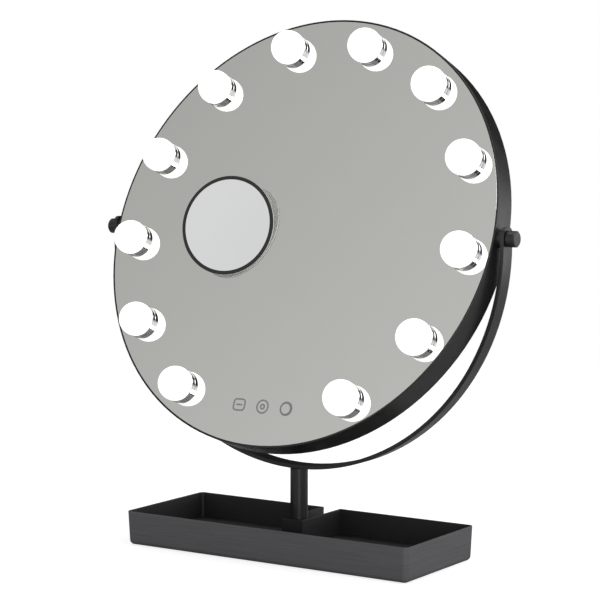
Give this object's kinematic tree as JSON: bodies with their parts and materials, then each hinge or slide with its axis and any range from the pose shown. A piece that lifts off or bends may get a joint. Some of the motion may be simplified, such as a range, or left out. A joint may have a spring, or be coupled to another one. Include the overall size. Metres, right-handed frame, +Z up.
{
  "type": "lighted vanity mirror",
  "caption": "Round tabletop vanity mirror ringed with globe lamps, tilting in a U bracket on a short pole, with a swivelling magnifier and a lift-off slotted tray.",
  "frame": {"origin": "centre of the pole's axis at the underside of the anti-slip pad, which is the surface that the mirror stands on", "axes": "+Z up, -Y towards the user, in front of the glass, +X to the user's right, along the tilt axis"},
  "size_m": [0.4978, 0.1981, 0.5524],
  "materials": {
    "frame_paint": "satin black powder coat on steel",
    "cover_plastic": "fine textured black moulding",
    "silver_plastic": "satin silver-grey moulding",
    "plate_paint": "matte black paint",
    "tray_plastic": "charcoal, fine brushed grain",
    "black_plastic": "moulded, semi-gloss",
    "knob": "satin black",
    "mirror": "silvered flat glass",
    "magnifier_mirror": "silvered concave glass",
    "chrome": "bright plated",
    "lamp_globe": "milky diffuser, lit",
    "touch_print": "frosted print",
    "nylon": "natural nylon",
    "steel": "bare steel",
    "foam": "closed-cell foam tape",
    "rubber_pad": "matte rubber sheet",
    "holder_plastic": "moulded white",
    "circuit_board": "solder mask with parts",
    "wire_sleeve": "sleeved wire"
  },
  "bodies": {
    "stand": {"u_bracket": "frame_paint", "pole": "frame_paint", "pole_insert": "steel", "pole_bolt": "steel", "base_plate": "plate_paint", "base_pad": "rubber_pad"},
    "tray": {"tray": "tray_plastic"},
    "head": {"rim": "frame_paint", "back_cover": "cover_plastic", "back_cover_screws": "steel", "mirror_glass": "mirror", "glass_tape": "foam", "touch_marks": "touch_print", "touch_board": "circuit_board", "magnet_keeper": "steel", "lamp_holders": "holder_plastic", "lamp_boards": "circuit_board", "control_board": "circuit_board", "wiring_loom": "wire_sleeve", "power_inlet": "black_plastic", "lamp_collar_01": "chrome", "lamp_collar_02": "chrome", "lamp_collar_03": "chrome", "lamp_collar_04": "chrome", "lamp_collar_05": "chrome", "lamp_collar_06": "chrome", "lamp_collar_07": "chrome", "lamp_collar_08": "chrome", "lamp_collar_09": "chrome", "lamp_collar_10": "chrome", "lamp_collar_11": "chrome", "lamp_collar_12": "chrome", "lamp_globe_01": "lamp_globe", "lamp_globe_02": "lamp_globe", "lamp_globe_03": "lamp_globe", "lamp_globe_04": "lamp_globe", "lamp_globe_05": "lamp_globe", "lamp_globe_06": "lamp_globe", "lamp_globe_07": "lamp_globe", "lamp_globe_08": "lamp_globe", "lamp_globe_09": "lamp_globe", "lamp_globe_10": "lamp_globe", "lamp_globe_11": "lamp_globe", "lamp_globe_12": "lamp_globe", "pivot_boss_left": "steel", "pivot_backing_left": "steel", "friction_washer_left": "nylon", "pivot_boss_right": "steel", "pivot_backing_right": "steel", "friction_washer_right": "nylon"},
    "knob_left": {"knob_left": "knob", "knob_stud_left": "steel"},
    "knob_right": {"knob_right": "knob", "knob_stud_right": "steel"},
    "magnifier_foot": {"magnifier_foot": "silver_plastic", "magnifier_magnet": "steel"},
    "ball_liner": {"ball_liner": "nylon"},
    "magnifier": {"magnifier_shell": "silver_plastic", "magnifier_bezel": "black_plastic", "magnifier_glass": "magnifier_mirror"}
  },
  "joints": [
    {"name": "head_tilt", "type": "hinge", "parent": "stand", "child": "head", "pos_m": [0, 0.004, 0.333], "axis": [1, 0, 0], "continuous": true},
    {"name": "knob_left_turn", "type": "hinge", "parent": "head", "child": "knob_left", "pos_m": [-0.245, 0.004, 0.333], "axis": [-1, 0, 0], "range_deg": [0, 360]},
    {"name": "knob_right_turn", "type": "hinge", "parent": "head", "child": "knob_right", "pos_m": [0.245, 0.004, 0.333], "axis": [1, 0, 0], "range_deg": [0, 360]},
    {"name": "magnifier_pull_off", "type": "slide", "parent": "head", "child": "magnifier_foot", "axis": [0, -0.9367, 0.3502], "range_m": [0, 0.03]},
    {"name": "magnifier_nod", "type": "hinge", "parent": "magnifier_foot", "child": "ball_liner", "pos_m": [-0.077, -0.01525, 0.33806], "axis": [1, 0, 0], "range_deg": [-14.8, 0]},
    {"name": "magnifier_turn", "type": "hinge", "parent": "ball_liner", "child": "magnifier", "pos_m": [-0.077, -0.01525, 0.33806], "axis": [0, 0.2267, 0.974], "range_deg": [-18.8, 0]},
    {"name": "tray_lift", "type": "slide", "parent": "stand", "child": "tray", "axis": [0, 0, 1], "range_m": [0, 0.05]}
  ]
}
